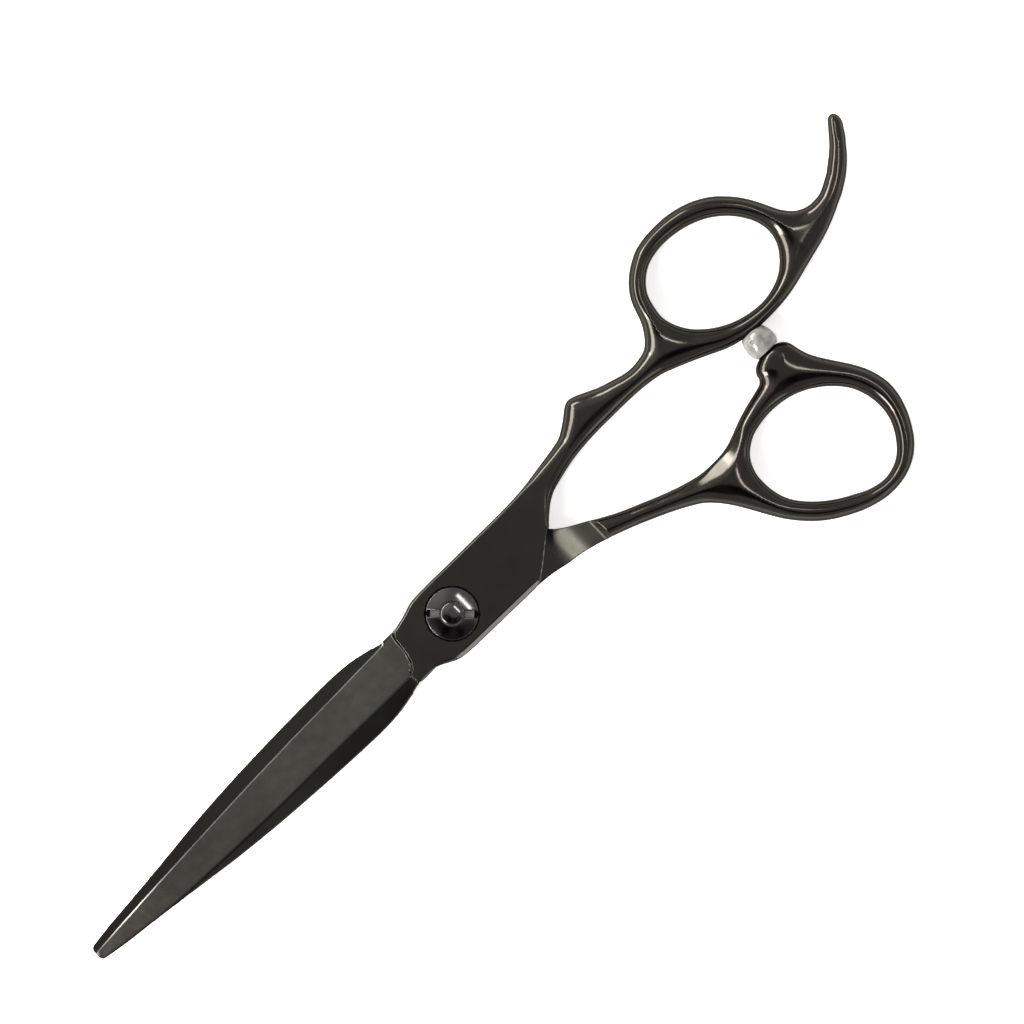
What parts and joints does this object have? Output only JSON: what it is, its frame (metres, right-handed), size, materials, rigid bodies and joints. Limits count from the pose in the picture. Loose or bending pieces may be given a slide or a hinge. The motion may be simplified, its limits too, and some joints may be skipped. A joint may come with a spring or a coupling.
{
  "type": "hair cutting shears",
  "caption": "Hair cutting shears: finger and thumb handles with a curved finger rest and soft bumper, turning on a ball-bearing pivot under a slotted tension nut.",
  "frame": {"origin": "on the pivot axis, in the plane of the outer face of the rear half, on which the shears lie", "axes": "+X along the closed blades towards the tips, +Y towards the thumb ring, +Z along the pivot axis out of the tension nut"},
  "size_m": [0.1693, 0.0542, 0.0069],
  "materials": {
    "black_steel": "polished, with a glossy black hard coating",
    "nut_steel": "turned, with a glossy black hard coating",
    "bearing_steel": "ground and polished",
    "nylon": "satin",
    "silicone": "clear moulded silicone, slightly cloudy"
  },
  "bodies": {
    "rear_half": {"rear_blade": "black_steel", "thumb_handle": "black_steel", "pivot_stud": "nut_steel", "upper_race": "bearing_steel", "spring_washer": "bearing_steel", "slip_washer": "nylon", "bumper": "silicone"},
    "front_half": {"front_blade": "black_steel", "finger_handle": "black_steel", "lower_race": "bearing_steel", "pivot_bushing": "nylon"},
    "ball_set": {"ball_cage": "nylon", "ball_1": "bearing_steel", "ball_2": "bearing_steel", "ball_3": "bearing_steel", "ball_4": "bearing_steel", "ball_5": "bearing_steel", "ball_6": "bearing_steel", "ball_7": "bearing_steel", "ball_8": "bearing_steel", "ball_9": "bearing_steel", "ball_10": "bearing_steel"},
    "key": {"keyed_washer": "bearing_steel"},
    "nut": {"tension_nut": "nut_steel"}
  },
  "joints": [
    {"name": "blade_pivot", "type": "hinge", "parent": "rear_half", "child": "front_half", "pos_m": [0, 0, 0.0027], "axis": [0, 0, 1], "range_deg": [0, 120]},
    {"name": "ball_set_roll", "type": "hinge", "parent": "rear_half", "child": "ball_set", "pos_m": [0, 0, 0.0041], "axis": [0, 0, 1], "range_deg": [-1, 61]},
    {"name": "key_slide", "type": "slide", "parent": "rear_half", "child": "key", "axis": [0, 0, 1], "range_m": [-0.000083333, 0.00016666], "deforming": ["spring_washer"]},
    {"name": "nut_turn", "type": "hinge", "parent": "key", "child": "nut", "pos_m": [0, 0, 0.0056], "axis": [0, 0, 1], "range_deg": [-61, 121]}
  ],
  "couplings": [
    {"joint": "ball_set_roll", "follows": "blade_pivot", "ratio": 0.5},
    {"joint": "nut_turn", "follows": "key_slide", "rad_per_m": 12566}
  ]
}
